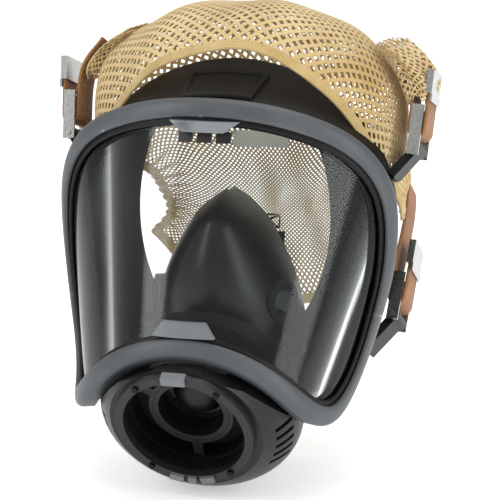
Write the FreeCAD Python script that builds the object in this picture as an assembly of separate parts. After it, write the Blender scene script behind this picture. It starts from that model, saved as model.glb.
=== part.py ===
import FreeCAD, Part
import math
import os

# Full face respirator with a net head harness, as worn: X runs from the wearer's right to left,
# -Y is straight ahead, +Z is up, and the origin is the middle of the face opening.
# Every size is in millimetres and every angle in degrees.

V = FreeCAD.Vector

# ---- lens: a slice of an oblique cone, wide at the brow and narrow at the chin
lens_radius = 90.0          # of the outer face, level with the origin
lens_taper = 0.30           # growth of that radius per millimetre of height
lens_front = -66.5          # where the outer face crosses the middle plane, level with the origin
lens_lean = 0.3745          # how far the front line moves back per millimetre of height
lens_wall = 2.5
lens_edge = 1.6             # how far the lens runs past the middle of the clamping ring
slot_slack = 0.45           # between the lens and each face of its groove
cone_low = -110.0           # the cone is cut to the lens between these two heights
cone_high = 80.0

# ---- clamping ring: its middle line on the lens, as (degrees round, height)
ring_line = [(0, 58.5), (12, 57), (25, 51.5), (38, 42), (50, 28), (59, 13), (66, -3), (73, -22),
             (78.5, -42), (82.5, -60), (83, -72), (79, -81), (71, -84), (60, -81), (48, -73.5),
             (38, -66), (25, -57), (12, -51), (0, -49)]
ring_half = 6.0             # from its middle line to its outer edge
ring_lap = 4.0              # from its middle line to its inner edge
ring_face = 2.8             # thickness of the band over the rubber
ring_wall = 2.2             # thickness of the rim round the outside
ring_depth = 4.4            # how far the rim reaches behind the lens face
ring_split = -42.0          # height of the joint between the two halves
part_gap = 0.2              # left between parts that only lie against each other
brow_tab = (35.0, 21.0, 5.0)    # wide end, narrow end and height of the tab at the top
chin_tab = (31.0, 21.0, 7.0)    # the same for the tab at the bottom
tab_gap = 0.5               # under the tabs, above the gasket
clip_count = 3              # small blocks under the brow tab
clip_pitch = 9.5
clip_size = (7.0, 5.0, 2.0)     # width, height and thickness

# ---- ring screws, one at each end of the joint
lug_size = 6.0              # of the square lug behind each half of the ring
lug_length = 6.0
lug_drop = -1.5             # of the lug's inner side, from the lens face
screw_radius = 1.25
screw_head_radius = 2.3
screw_head_height = 1.6
nut_height = 2.0

# ---- rubber
channel_lip = 2.2           # rubber in front of and behind the lens in its groove
channel_half = 3.4          # from the ring's middle line to the outer edge of the groove's rubber
channel_lap = 6.6           # from the ring's middle line to the bead against the lens
skirt_wall = 2.4
lip_wall = 1.6
opening_half_width = 50.0   # of the face opening
opening_half_height = 72.0
shoulder_half_width = 84.0  # of the rubber's rear corner, from which the seal turns inwards
shoulder_top = 79.0
shoulder_bottom = 112.0
shoulder_depth = 11.0

# ---- component housing, in the port's own frame: x across, v up its face, w out of its mouth
port_centre = V(0, -82.9, -87.2)
port_tilt = 28.0            # how far the port looks down
port_radius = 30.0          # bore that the breathing regulator plugs into
socket_depth = 8.0          # of that bore in the housing
port_depth = 18.0           # of the whole recess
recess_step = 1.0           # the recess is this much narrower behind the bore
port_rim = 4.2              # wall of the ring round the mouth
port_rim_height = 4.0
inlet_radius = 19.0         # bore through to the nose cup
housing_ovals = [(-46.0, -8.0, 44.0, 40.0), (-20.0, -10.0, 50.0, 46.0), (0.0, -2.0, 38.0, 37.5)]
blank_oval_gap = 1.5        # the rubber's fit round the back of the housing
arch_gap = 0.7              # between the ring and the housing
arch_back = -66.0           # the housing rises behind the lens from here
arch_end = -55.0            # the ring turns up out of the arch here

spider_spokes = 3
spoke_width = 5.0
spoke_top = -9.5            # of the spider, from the mouth
spoke_thickness = 4.0
tube_wall = 2.5
tube_front = -9.5
tube_back = -30.0
seal_thickness = 2.0
valve_thickness = 0.8
valve_margin = 1.0          # between a valve disc and the wall round it
inlet_seat_front = -22.0
seat_thickness = 1.5
dome_height = 7.0
dome_clear = 2.0            # from the dome's edge to the tube

outlet_axis_w = -31.0       # the exhalation valve looks down behind the port
outlet_radius = 12.0
outlet_seat_v = -37.0
outlet_seat_thickness = 2.0
outlet_passage = 8.0        # radius of the way in
outlet_duct = 5.0           # radius of the duct that leads to it
outlet_disc_thickness = 1.0
spring_wall = 0.8
spring_radius = 4.0
spring_length = 6.0
outlet_cover_thickness = 2.5

vent_depth = 2.5            # of the grille set in each cheek of the housing
vent_low = -30.0
vent_high = -1.0
vent_back = -17.0
vent_front = -3.0
vent_inner = 36.0
slat_pitch = 5.5
slat_slot = 2.4
diaphragm_radius = 9.0
diaphragm_v = -12.0
diaphragm_w = -32.0
diaphragm_x = 40.0
key_size = (12.0, 5.0, 6.0)

# ---- nose cup: (height, half width, how far forward)
cup_levels = [(14.0, 8.0, -33.0), (-5.0, 22.0, -41.5), (-30.0, 33.0, -47.0), (-55.0, 39.0, -43.5),
              (-68.0, 38.0, -37.0)]
cup_back = -2.0
cup_wall = 2.0
cup_valve_radius = 8.0
cup_valve_place = V(31.0, -24.0, -38.0)
cup_seat_wall = 2.0
cup_seat_length = 4.0

# ---- head net
net_half_width = 84.0
net_half_depth = 65.0
net_centre_y = 33.0
net_brow = 18.0             # height at which the crown starts to close
net_top = 104.0
net_fullness = 3.0          # how square the crown is; 2 is an ellipse
net_low = -72.0
net_low_share = 0.92
net_wall = 2.5
net_edge_top = V(0, -14.0, 82.0)        # the front edge runs down and back between these two
net_edge_low = V(0, 49.0, 0.0)
label_box = (-27.0, 3.0, 18.0, 27.0)    # x from, x to, z from, z to
patch_box = (-16.0, 2.0, -46.0, -28.0)
sewn_wall = 0.8

# ---- strap buckles: one set at each corner, turned about the lug's pin
strap_width = 21.0
strap_wall = 1.8
pin_radius = 1.25
pin_length = 27.0
running_gap = 0.05
knuckle_radius = 3.2
knuckle_half = 10.6
tongue_wall = 4.2
tongue_width = 17.0
plate_inner = 11.3
plate_wall = 1.5
plate_half = 3.0
plate_end = 22.0
roller_place = 10.0
roller_radius = 2.6
roller_half = 10.6
cross_place = 19.5
wrap_gap = 0.3
tail_end = 28.0
tab_length = 12.0
tab_wall = 1.2
tab_width = 23.0
run_start = 44.0            # from the pin, past the sweep of everything that turns with the buckle
corners = {
    "upper": {"pin": V(90, 17, 33), "strap": V(0.06, 0.28, 0.95), "root": V(79, 10, 20),
              "end": V(82, 34, 84)},
    "lower": {"pin": V(80, 21, -55), "strap": V(0.05, 0.5, 0.86), "root": V(68.5, 9, -68),
              "end": V(79, 58, 6)},
}

stations = 31               # sections along each half of a ring
joint_turn = 16             # the section, counted from the top, that lies nearest the ring's joint
recess_radius = port_radius - recess_step


def lens_centre(z):
    """Height z to the Y of the cone's axis there."""
    return lens_front + lens_lean * z + lens_radius + lens_taper * z


def lens_normal(theta):
    rise = (lens_lean + lens_taper) * math.cos(theta) - lens_taper
    return V(math.sin(theta), -math.cos(theta), rise).normalize()


def on_lens(degrees, z):
    """A point of the lens's outer face."""
    t = math.radians(degrees)
    r = lens_radius + lens_taper * z
    return V(r * math.sin(t), lens_centre(z) - r * math.cos(t), z)


def smooth(points, first, last):
    curve = Part.BSplineCurve()
    curve.interpolate(Points=points, InitialTangent=first, FinalTangent=last)
    return curve


def through(points):
    curve = Part.BSplineCurve()
    curve.interpolate(Points=points)
    return curve.toShape()


ring_curve = smooth([on_lens(a, z) for a, z in ring_line], V(1, 0, 0), V(-1, 0, 0))
ring_places = ring_curve.toShape().discretize(Number=stations)


def ring_frame(place):
    """The directions at a place on the ring: away from the lens, out of its face, and along."""
    along = V(*ring_curve.tangent(ring_curve.parameter(place))[0])
    out = lens_normal(math.atan2(place.x, lens_centre(place.z) - place.y))
    across = out.cross(along).normalize()
    return across, out, along


def closed(points):
    return Part.makePolygon(points + [points[0]])


def mirrored(shape):
    return shape.mirror(V(0, 0, 0), V(1, 0, 0))


def both_halves(half):
    return half.fuse(mirrored(half)).removeSplitter()


def pair(shape):
    return Part.makeCompound([shape, mirrored(shape)])


def piece_at(shape, point):
    """The solid of a cut shape that lies nearest the point."""
    probe = Part.Vertex(point)
    return min(shape.Solids, key=lambda solid: solid.distToShape(probe)[0])


def slab(x0, x1, y0, y1, z0, z1):
    return Part.makeBox(x1 - x0, y1 - y0, z1 - z0, V(x0, y0, z0))


def round_ring(profile):
    """Cross-sections along the whole ring, given as (across, out), from low left over the top and back."""
    right = []
    for place in ring_places:
        across, out, _ = ring_frame(place)
        right.append([place + across * a + out * b for a, b in profile])
    for end in (right[0], right[-1]):
        for point in end:
            point.x = 0.0
    left = [[V(-p.x, p.y, p.z) for p in section] for section in right[1:-1]]
    return left[::-1] + right


def stretches(profile, turn):
    """The upper and lower sections, counted from the top to the place where the two stretches meet."""
    sections = round_ring(profile)
    top = len(ring_places) - 2
    return sections[top - turn:top + turn + 1], sections[top + turn:] + sections[:top - turn + 1]


def stretch(sections):
    return Part.makeLoft([closed(section) for section in sections], True, False)


def cone(inset):
    """The solid within the lens's outer face, set in (or, below 0, out) by the inset."""
    rings = []
    for z in (cone_low, cone_high):
        circle = Part.Circle(V(0, lens_centre(z), z), V(0, 0, 1), lens_radius + lens_taper * z - inset)
        rings.append(Part.Wire(circle.toShape()))
    return Part.makeLoft(rings, True, True)


def lens():
    """Made of generators of the cone, each between the lens's lower and upper edges."""
    edge = []
    for place in ring_curve.toShape().discretize(Number=600):
        across, _, _ = ring_frame(place)
        point = place + across * lens_edge
        turn = math.degrees(math.atan2(point.x, lens_centre(point.z) - point.y))
        edge.append((turn, point.z))
    widest = max(range(len(edge)), key=lambda i: edge[i][0])
    last = edge[widest][0] - 1.0
    count = 21
    wires = []
    for i in range(-count, count + 1):
        turn = last * i / count
        high = height_at(edge[:widest + 1], abs(turn))
        low = height_at(edge[widest:][::-1], abs(turn))
        out = lens_normal(math.radians(turn))
        front = [on_lens(turn, low), on_lens(turn, high)]
        wires.append(closed(front + [p - out * lens_wall for p in front[::-1]]))
    return Part.makeLoft(wires, True, False)


def height_at(edge, turn):
    """The edge's height at an angle round the cone, from points in order of angle."""
    for (t0, z0), (t1, z1) in zip(edge, edge[1:]):
        if t1 >= turn and t1 > t0:
            return z0 + (z1 - z0) * (turn - t0) / (t1 - t0)
    return edge[-1][1]


def lens_gasket():
    back = lens_wall + channel_lip
    slack = slot_slack
    slot = lens_edge + slack
    profile = [(-channel_lap, channel_lip), (channel_half, channel_lip), (channel_half, -back),
               (-channel_lap, -back), (-channel_lap, -lens_wall - slack), (slot, -lens_wall - slack),
               (slot, slack), (-channel_lap, slack)]
    upper, lower = stretches(profile, joint_turn)
    return stretch(upper).fuse(stretch(lower))


def ring_tab(sizes, place, upward):
    """A trapezoid that grows from the ring's inner edge over the face of the lens."""
    wide, narrow, height = sizes
    lean = ring_frame(place)[1]
    under = (channel_lip + 2 * tab_gap) / -lean.y
    rise = (channel_lip + ring_face) * lean.z if upward > 0 else 0
    root = place.z + upward * (ring_lap + part_gap + rise)
    tip = root + upward * height
    outline = closed([V(-wide / 2, -150, root), V(wide / 2, -150, root), V(narrow / 2, -150, tip),
                      V(-narrow / 2, -150, tip)])
    prism = Part.Face(outline).extrude(V(0, 150, 0))
    return prism.common(cone(-under - ring_face)).cut(cone(-under))


def ring_profile():
    under = channel_lip + part_gap
    top = under + ring_face
    chamfer = 0.9
    inside = ring_half - ring_wall
    return [(-ring_lap, under), (-ring_lap, top - chamfer), (-ring_lap + chamfer, top),
            (ring_half - 2 * chamfer, top), (ring_half, top - 2 * chamfer), (ring_half, -ring_depth),
            (inside, -ring_depth), (inside, under)]


def at_split():
    """Where the ring's two halves meet, as a placement: X across, Y out and Z up along the ring."""
    place = min((p for p in ring_curve.toShape().discretize(Number=400) if p.x > 40),
                key=lambda p: abs(p.z - ring_split))
    across, out, along = ring_frame(place)
    return FreeCAD.Placement(place, FreeCAD.Rotation(across, out, along * -1, "ZXY"))


def lug_at(level, height):
    """A square lug on the outside of the ring, between two levels along it."""
    return slab(ring_half - 1, ring_half + lug_size, lug_drop, lug_drop + lug_size, level, level + height)


def screw_axis():
    return ring_half + lug_size / 2, lug_drop + lug_size / 2


def ring_half_part(upper):
    """One half of the ring with its two lugs, cut off level at the joint."""
    gap = part_gap / 2
    if upper:
        half = stretch(stretches(ring_profile(), joint_turn + 2)[0])
        box = slab(-200, 200, -200, 200, ring_split + gap, 200)
    else:
        half = stretch(stretches(ring_profile(), joint_turn - 2)[1])
        box = slab(-200, 200, -200, 200, -200, ring_split - gap)
    x, y = screw_axis()
    lug = lug_at(gap if upper else -gap - lug_length, lug_length)
    lug = lug.cut(Part.makeCylinder(screw_radius, 2 * lug_length + 2, V(x, y, -lug_length - 1)))
    lug.Placement = at_split()
    lug = lug.common(box)
    return half.common(box).fuse([lug, mirrored(lug)])


def ring_screws():
    x, y = screw_axis()
    top = lug_length + part_gap / 2
    shank = Part.makeCylinder(screw_radius - running_gap, 2 * top + nut_height, V(x, y, -top - nut_height))
    head = Part.makeCylinder(screw_head_radius, screw_head_height, V(x, y, top))
    screw = shank.fuse(head)
    screw.Placement = at_split()
    return pair(screw)


def ring_nuts():
    x, y = screw_axis()
    low = -lug_length - part_gap / 2 - nut_height
    nut = Part.makeCylinder(screw_head_radius, nut_height, V(x, y, low))
    nut = nut.cut(Part.makeCylinder(screw_radius - running_gap, nut_height, V(x, y, low)))
    nut.Placement = at_split()
    return pair(nut)


def brow_clips():
    """Small blocks under the brow tab, against the lens."""
    width, height, thickness = clip_size
    top = ring_places[0].z - ring_lap - brow_tab[2] - 2 * part_gap
    skin = cone(-part_gap - thickness).cut(cone(-part_gap))
    clips = []
    for i in range(clip_count):
        x = (i - (clip_count - 1) / 2) * clip_pitch
        clips.append(skin.common(slab(x - width / 2, x + width / 2, -150, 0, top - height, top)))
    return Part.makeCompound(clips)


# ---- the port's frame

def port_placement():
    return FreeCAD.Placement(port_centre, FreeCAD.Rotation(V(1, 0, 0), 90 + port_tilt))


def in_port(shape):
    shape.Placement = port_placement().multiply(shape.Placement)
    return shape


def port_point(x, v, w):
    return port_placement().multVec(V(x, v, w))


def oval_points(oval, grow, count=16):
    w, v, a, b = oval
    turns = [2 * math.pi * i / count for i in range(count)]
    return [V((a + grow) * math.sin(t), v + (b + grow) * math.cos(t), w) for t in turns]


def oval_wire(oval, grow):
    curve = Part.BSplineCurve()
    curve.interpolate(Points=oval_points(oval, grow), PeriodicFlag=True)
    return Part.Wire(curve.toShape())


def housing_body(grow):
    """The housing's outer shape in the port's frame."""
    return Part.makeLoft([oval_wire(oval, grow) for oval in housing_ovals], True, False)


def arch_cutter():
    """Everything in front of the collar and above the lower edge of the ring's lower band."""
    edge = []
    for place in ring_places[::-1]:
        if place.y > arch_end:
            break
        across, out, _ = ring_frame(place)
        point = place + across * (ring_half + arch_gap) - out * ring_depth
        edge.append(V(point.x, -150, point.z))
    left = [V(-p.x, p.y, p.z) for p in edge[1:]][::-1]
    corners = [V(edge[-1].x, -150, 0), V(-edge[-1].x, -150, 0)]
    return Part.Face(closed(left + edge + corners)).extrude(V(0, 150 + arch_back, 0))


def vent_zone(side):
    x0, x1 = (vent_inner, 70) if side > 0 else (-70, -vent_inner)
    return slab(x0, x1, vent_low, vent_high, vent_back, vent_front)


def diaphragm_hole(radius, start, end):
    return Part.makeCylinder(radius, end - start, V(start, diaphragm_v, diaphragm_w), V(1, 0, 0))


def outlet_cylinder(radius, top, bottom):
    """A cylinder on the exhalation valve's axis, between two levels down it."""
    return Part.makeCylinder(radius, top - bottom, V(0, top, outlet_axis_w), V(0, -1, 0))


def component_housing():
    back = housing_ovals[0][0]
    whole = in_port(housing_body(0)).cut(arch_cutter())
    body = piece_at(whole, port_point(0, -port_radius - 4, -4))
    skin = housing_body(0).cut(housing_body(-vent_depth))
    cuts = [Part.makeCylinder(port_radius, socket_depth + 1, V(0, 0, -socket_depth)),
            Part.makeCylinder(recess_radius, port_depth, V(0, 0, -port_depth)),
            Part.makeCylinder(inlet_radius, 60, V(0, 0, -port_depth - 59)),
            outlet_cylinder(outlet_radius, outlet_seat_v, -80),
            outlet_cylinder(outlet_passage, -24, outlet_seat_v - 1),
            Part.makeCylinder(outlet_duct, 30, V(0, -30, back - 14)),
            diaphragm_hole(diaphragm_radius, inlet_radius - 4, 70),
            skin.common(vent_zone(1)), skin.common(vent_zone(-1))]
    for tool in cuts:
        body = body.cut(in_port(tool))
    return body


def vent_grille(side):
    skin = housing_body(0).cut(housing_body(-vent_depth))
    grille = skin.common(vent_zone(side))
    middle = (vent_front + vent_back) / 2
    step = vent_low + slat_pitch / 2
    while step < vent_high - slat_slot:
        slot = slab(side * 45 - 30, side * 45 + 30, step, step + slat_slot, middle - 5, middle + 5)
        grille = grille.cut(slot)
        step += slat_pitch
    return in_port(grille)


def speaking_diaphragm():
    return in_port(diaphragm_hole(diaphragm_radius - part_gap, diaphragm_x - 0.5, diaphragm_x))


def diaphragm_retainer():
    ring = diaphragm_hole(diaphragm_radius - part_gap, diaphragm_x, diaphragm_x + 3)
    return in_port(ring.cut(diaphragm_hole(diaphragm_radius - 2.5, diaphragm_x, diaphragm_x + 3)))


def port_ring():
    ring = Part.makeCylinder(port_radius + port_rim, port_rim_height)
    ring = ring.cut(Part.makeCylinder(port_radius, port_rim_height))
    width, height, _ = key_size
    ring = ring.cut(slab(-width / 2, width / 2, port_radius - 1, port_radius + height, 1, port_rim_height))
    return in_port(ring)


def port_key():
    """The block in the notch at the top of the port's ring."""
    width, height, _ = key_size
    gap = part_gap
    key = slab(-width / 2 + gap, width / 2 - gap, port_radius + 0.5, port_radius + height, 1,
               port_rim_height + 1.5)
    return in_port(key)


def latch_keeper():
    """Two pads and a wedge at the bottom of the mouth, standing on the ring."""
    base = port_rim_height
    parts = []
    for turn in (-14, 0, 14):
        half = 2.0 if turn == 0 else 3.4
        pad = slab(-half, half, -port_radius - port_rim + 0.4, -port_radius - 0.3, base, base + 1.8)
        pad.rotate(V(0, 0, 0), V(0, 0, 1), turn)
        parts.append(pad)
    return in_port(Part.makeCompound(parts))


def inlet_seal():
    ring = Part.makeCylinder(recess_radius - part_gap, seal_thickness, V(0, 0, -port_depth))
    return in_port(ring.cut(Part.makeCylinder(inlet_radius + 1, seal_thickness, V(0, 0, -port_depth))))


def inlet_tube():
    length = tube_front - tube_back
    outer = inlet_radius - part_gap
    tube = Part.makeCylinder(outer, length, V(0, 0, tube_back))
    bore = outer - tube_wall
    tube = tube.cut(Part.makeCylinder(bore, length, V(0, 0, tube_back)))
    seat_back = inlet_seat_front - seat_thickness
    seat = Part.makeCylinder(bore + 0.01, seat_thickness, V(0, 0, seat_back))
    seat = seat.cut(Part.makeCylinder(bore - 2, seat_thickness, V(0, 0, seat_back)))
    bars = []
    for i in range(spider_spokes):
        bar = slab(-1, 1, 0, bore, seat_back, inlet_seat_front)
        bar.rotate(V(0, 0, 0), V(0, 0, 1), 360 * i / spider_spokes)
        bars.append(bar)
    return in_port(tube.fuse([seat] + bars))


def inlet_spider():
    """Three spokes that hold the inlet tube in the port."""
    inner = inlet_radius
    ring = Part.makeCylinder(inner + 2, spoke_thickness, V(0, 0, spoke_top - spoke_thickness))
    spokes = []
    for i in range(spider_spokes):
        spoke = slab(-spoke_width / 2, spoke_width / 2, 0, port_radius + 5, spoke_top - spoke_thickness,
                     spoke_top)
        spoke.rotate(V(0, 0, 0), V(0, 0, 1), 60 + 360 * i / spider_spokes)
        spokes.append(spoke)
    spider = ring.fuse(spokes)
    spider = spider.common(Part.makeCylinder(recess_radius - 0.02, 40, V(0, 0, -30)))
    return in_port(spider.cut(Part.makeCylinder(inner, 40, V(0, 0, -30))))


def air_dome():
    """The smooth dome in the middle of the inlet, which stands on the valve seat's bars."""
    radius = inlet_radius - part_gap - tube_wall - dome_clear - 2
    sphere_radius = (radius ** 2 + dome_height ** 2) / (2 * dome_height)
    base = inlet_seat_front
    ball = Part.makeSphere(sphere_radius, V(0, 0, base + dome_height - sphere_radius))
    return in_port(ball.common(slab(-40, 40, -40, 40, base, base + dome_height + 1)))


def inhalation_valve():
    radius = inlet_radius - part_gap - tube_wall - valve_margin
    top = inlet_seat_front - seat_thickness - 0.02
    return in_port(Part.makeCylinder(radius, valve_thickness, V(0, 0, top - valve_thickness)))


def exhalation_seat():
    low = outlet_seat_v - outlet_seat_thickness
    seat = outlet_cylinder(outlet_radius - 0.02, outlet_seat_v, low)
    return in_port(seat.cut(outlet_cylinder(outlet_passage, outlet_seat_v, low)))


def exhalation_disc():
    top = outlet_seat_v - outlet_seat_thickness - 0.02
    return in_port(outlet_cylinder(outlet_radius - valve_margin, top, top - outlet_disc_thickness))


def outlet_spring_top():
    return outlet_seat_v - outlet_seat_thickness - outlet_disc_thickness - 0.04


def exhalation_spring():
    top = outlet_spring_top()
    tube = outlet_cylinder(spring_radius, top, top - spring_length)
    return in_port(tube.cut(outlet_cylinder(spring_radius - spring_wall, top, top - spring_length)))


def exhalation_cover():
    top = outlet_spring_top() - spring_length - 0.02
    cover = outlet_cylinder(outlet_radius - 0.02, top, top - outlet_cover_thickness)
    for i in range(6):
        angle = math.radians(60 * i)
        reach = outlet_radius * 0.66
        hole = Part.makeCylinder(2.2, outlet_cover_thickness,
                                 V(reach * math.sin(angle), top, outlet_axis_w + reach * math.cos(angle)),
                                 V(0, -1, 0))
        cover = cover.cut(hole)
    return in_port(cover)


def housing_screws():
    """Two screws beside the key, through the port's ring."""
    screws = []
    for turn in (-38, 38, 142, -142):
        screw = Part.makeCylinder(1.6, 1.2, V(0, port_radius + port_rim / 2, port_rim_height))
        screw.rotate(V(0, 0, 0), V(0, 0, 1), turn)
        screws.append(screw)
    return in_port(Part.makeCompound(screws))


# ---- rubber face piece

def blank_edges():
    """The rubber's front edge as (outer, inner) pairs, behind the ring and then round the housing."""
    back = -lens_wall - channel_lip - part_gap
    edges = []
    for place in ring_places:
        if place.z < -76 or (place.z < -60 and place.x < 64):
            break
        across, out, _ = ring_frame(place)
        edges.append((place + across * channel_half + out * back,
                      place + across * (channel_half - skirt_wall) + out * back))
    w, v, a, b = housing_ovals[0]
    for turn in range(110, 181, 10):
        t = math.radians(turn)
        pairs = []
        for grow in (blank_oval_gap + skirt_wall, blank_oval_gap):
            pairs.append(port_point((a + grow) * math.sin(t), v + (b + grow) * math.cos(t), w))
        edges.append(tuple(pairs))
    return edges


def oval_place(t, half_width, up, down, y):
    reach = up if math.cos(t) > 0 else down
    return V(half_width * math.sin(t), y, reach * math.cos(t))


def face_blank():
    wires = []
    for outer, inner in blank_edges():
        low = shoulder_bottom if outer.z < 0 else shoulder_top
        t = math.atan2(outer.x / shoulder_half_width, outer.z / low)
        shoulder = oval_place(t, shoulder_half_width, shoulder_top, shoulder_bottom, shoulder_depth)
        inside = oval_place(t, shoulder_half_width - skirt_wall, shoulder_top - skirt_wall,
                            shoulder_bottom - skirt_wall, shoulder_depth - skirt_wall)
        lip = oval_place(t, opening_half_width, opening_half_height, opening_half_height, lip_wall / 2)
        front = lip - V(0, lip_wall, 0)
        wires.append(closed([outer, shoulder, lip, front, inside, inner]))
    return both_halves(Part.makeLoft(wires, True, False))


def nosecup_level(z, half_width, front, inset):
    turns = [math.radians(a) for a in range(-90, 91, 30)]
    w = half_width - inset
    d = cup_back - front - inset
    return [V(w * math.sin(t), cup_back - d * math.cos(t), z) for t in turns]


def nosecup():
    wires = []
    for z, half_width, front in cup_levels:
        outer = nosecup_level(z, half_width, front, 0)
        inner = nosecup_level(z, half_width, front, cup_wall)[::-1]
        edges = [through(outer), Part.LineSegment(outer[-1], inner[0]).toShape(), through(inner),
                 Part.LineSegment(inner[-1], outer[0]).toShape()]
        wires.append(Part.Wire(edges))
    cup = Part.makeLoft(wires, True, False)
    hole = in_port(Part.makeCylinder(inlet_radius - 3, 40, V(0, 0, housing_ovals[0][0] - 20)))
    cup = cup.cut(hole)
    seat = cup_valve_cylinder(cup_valve_radius + cup_seat_wall, -20, 20)
    return cup.cut(seat).cut(mirrored(seat))


cup_valve_axis = V(0.86, -0.51, 0)


def cup_valve_cylinder(radius, start, end):
    axis = V(*cup_valve_axis).normalize()
    return Part.makeCylinder(radius, end - start, cup_valve_place + axis * start, axis)


def nosecup_valve_seat():
    half = cup_seat_length / 2
    seat = cup_valve_cylinder(cup_valve_radius + cup_seat_wall - 0.02, -half, half)
    seat = seat.cut(cup_valve_cylinder(cup_valve_radius, -half, half - 1))
    return seat.cut(cup_valve_cylinder(cup_valve_radius - 2, -half, half))


def nosecup_valve_disc():
    top = cup_seat_length / 2 - 1.02
    return cup_valve_cylinder(cup_valve_radius - valve_margin / 2, top - valve_thickness, top)


# ---- head net

def net_oval(z, inset):
    """One level of the net: an oval that narrows slowly downwards and closes over the crown."""
    share = 1 - (1 - net_low_share) * (net_brow - z) / (net_brow - net_low)
    if z > net_brow:
        share = (1 - ((z - net_brow) / (net_top - net_brow)) ** net_fullness) ** (1 / net_fullness)
    wide = net_half_width * share - inset
    deep = net_half_depth * share - inset
    turns = [2 * math.pi * i / 24 for i in range(24)]
    curve = Part.BSplineCurve()
    points = [V(wide * math.sin(t), net_centre_y + deep * math.cos(t), z) for t in turns]
    curve.interpolate(Points=points, PeriodicFlag=True)
    return Part.Wire(curve.toShape())


def net_body(inset):
    """The solid within the net's outer face, less an inset."""
    crown = net_top - net_brow
    levels = [net_low, (net_low + net_brow) / 2, net_brow]
    levels += [net_brow + crown * share for share in (0.35, 0.62, 0.82, 0.94, 0.985)]
    ovals = [net_oval(z, inset) for z in levels]
    for oval in ovals[3:]:
        oval.translate(V(0, 0, -inset))
    return Part.makeLoft(ovals, True, False)


def edge_wedge(back):
    """Everything in front of the net's slanted front edge, moved back by a distance."""
    run = (net_edge_low - net_edge_top).normalize()
    behind = V(0, -run.z, run.y)
    corner = net_edge_top + behind * back + run * 400
    box = Part.makeBox(400, 300, 600, V(-200, -300, 0))
    box.Placement = FreeCAD.Placement(corner, FreeCAD.Rotation(V(1, 0, 0), behind, run * -1, "ZXY"))
    return box


def net_shell(inset, wall):
    return net_body(inset).cut(net_body(inset + wall))


def head_net():
    return net_shell(0, net_wall).cut(edge_wedge(0))


def sewn_on(box):
    """A thin piece on the inside of the net's rear."""
    x0, x1, z0, z1 = box
    return net_shell(net_wall, sewn_wall).common(slab(x0, x1, net_centre_y, 200, z0, z1))


# ---- buckles and straps, in a buckle's frame: X outward, Y along its pin, Z along the strap

def corner_placement(level):
    corner = corners[level]
    along = V(*corner["strap"]).normalize()
    outward = V(1, 0, 0)
    outward = (outward - along * outward.dot(along)).normalize()
    return FreeCAD.Placement(corner["pin"], FreeCAD.Rotation(outward, along.cross(outward), along, "ZXY"))


def on_corner(shape, level, side):
    shape.Placement = corner_placement(level).multiply(shape.Placement)
    return shape if side == "left" else mirrored(shape)


def rod(radius, half, z):
    return Part.makeCylinder(radius, 2 * half, V(0, -half, z), V(0, 1, 0))


def buckle_pin():
    return rod(pin_radius, pin_length / 2, 0)


def buckle_frame():
    outer = plate_inner + plate_wall
    frame = rod(pin_radius, outer - 0.5, roller_place).fuse(rod(pin_radius, outer - 0.5, cross_place))
    for y in (-outer, plate_inner):
        frame = frame.fuse(slab(-plate_half, plate_half, y, y + plate_wall, -plate_half, plate_end))
    return frame.cut(rod(pin_radius + running_gap, 20, 0))


def buckle_roller():
    return rod(roller_radius, roller_half, roller_place).cut(
        rod(pin_radius + running_gap, roller_half, roller_place))


def strap_loop():
    """The strap's turn round the roller, with both its legs."""
    inner = roller_radius + wrap_gap
    outer = inner + strap_wall
    half = strap_width / 2
    turn = rod(outer, half, roller_place).cut(rod(inner, half, roller_place))
    turn = turn.cut(slab(-10, 10, -half, half, roller_place, roller_place + 20))
    near = slab(-outer, -inner, -half, half, roller_place, tail_end + tab_length)
    tail = slab(inner, outer, -half, half, roller_place, tail_end)
    return turn.fuse([near, tail])


def strap_tab():
    """The steel plate on the strap's loose end, folded over it."""
    inner = roller_radius + wrap_gap
    half = tab_width / 2
    plate = slab(inner - tab_wall + 0.4, inner + strap_wall + tab_wall - 0.4, -half, half, tail_end,
                 tail_end + tab_length)
    return plate.fuse(slab(inner + strap_wall, inner + strap_wall + tab_wall, -half, half,
                           tail_end - 4, tail_end))


def bar_between(a, b, width_axis, width, wall):
    """A flat bar from a to b, its width along an axis."""
    along = (b - a).normalize()
    side = (width_axis - along * width_axis.dot(along)).normalize()
    bar = slab(-wall / 2, wall / 2, -width / 2, width / 2, 0, (b - a).Length)
    bar.Placement = FreeCAD.Placement(a, FreeCAD.Rotation(side.cross(along), side, along, "ZXY"))
    return bar


def strap_lug(level, blank):
    """The rubber lug that holds the pin, grown from the face piece's shoulder."""
    place = corner_placement(level)
    knuckle = rod(knuckle_radius, knuckle_half, 0)
    knuckle.Placement = place
    pin_axis = place.Rotation.multVec(V(0, 1, 0))
    root = corners[level]["root"]
    tongue = bar_between(corners[level]["pin"], root, pin_axis, tongue_width, tongue_wall)
    bore = rod(pin_radius, knuckle_half, 0)
    bore.Placement = place
    lug = knuckle.fuse(tongue).cut(bore).cut(blank)
    return piece_at(lug, corners[level]["pin"] + V(knuckle_radius, 0, 0))


def strap_run(level, side, net):
    """The strap from the reach of its buckle to the net."""
    place = corner_placement(level)
    start = place.multVec(V(-roller_radius - wrap_gap - strap_wall / 2, 0, run_start))
    pin_axis = place.Rotation.multVec(V(0, 1, 0))
    run = bar_between(start, corners[level]["end"], pin_axis, strap_width, strap_wall)
    run = run.cut(net)
    run = piece_at(run, start)
    return run if side == "left" else mirrored(run)


def write(name, shape):
    shape.exportStep("parts/" + name + ".step")
    print(name, round(shape.Volume), len(shape.Solids), shape.isValid())


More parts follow.
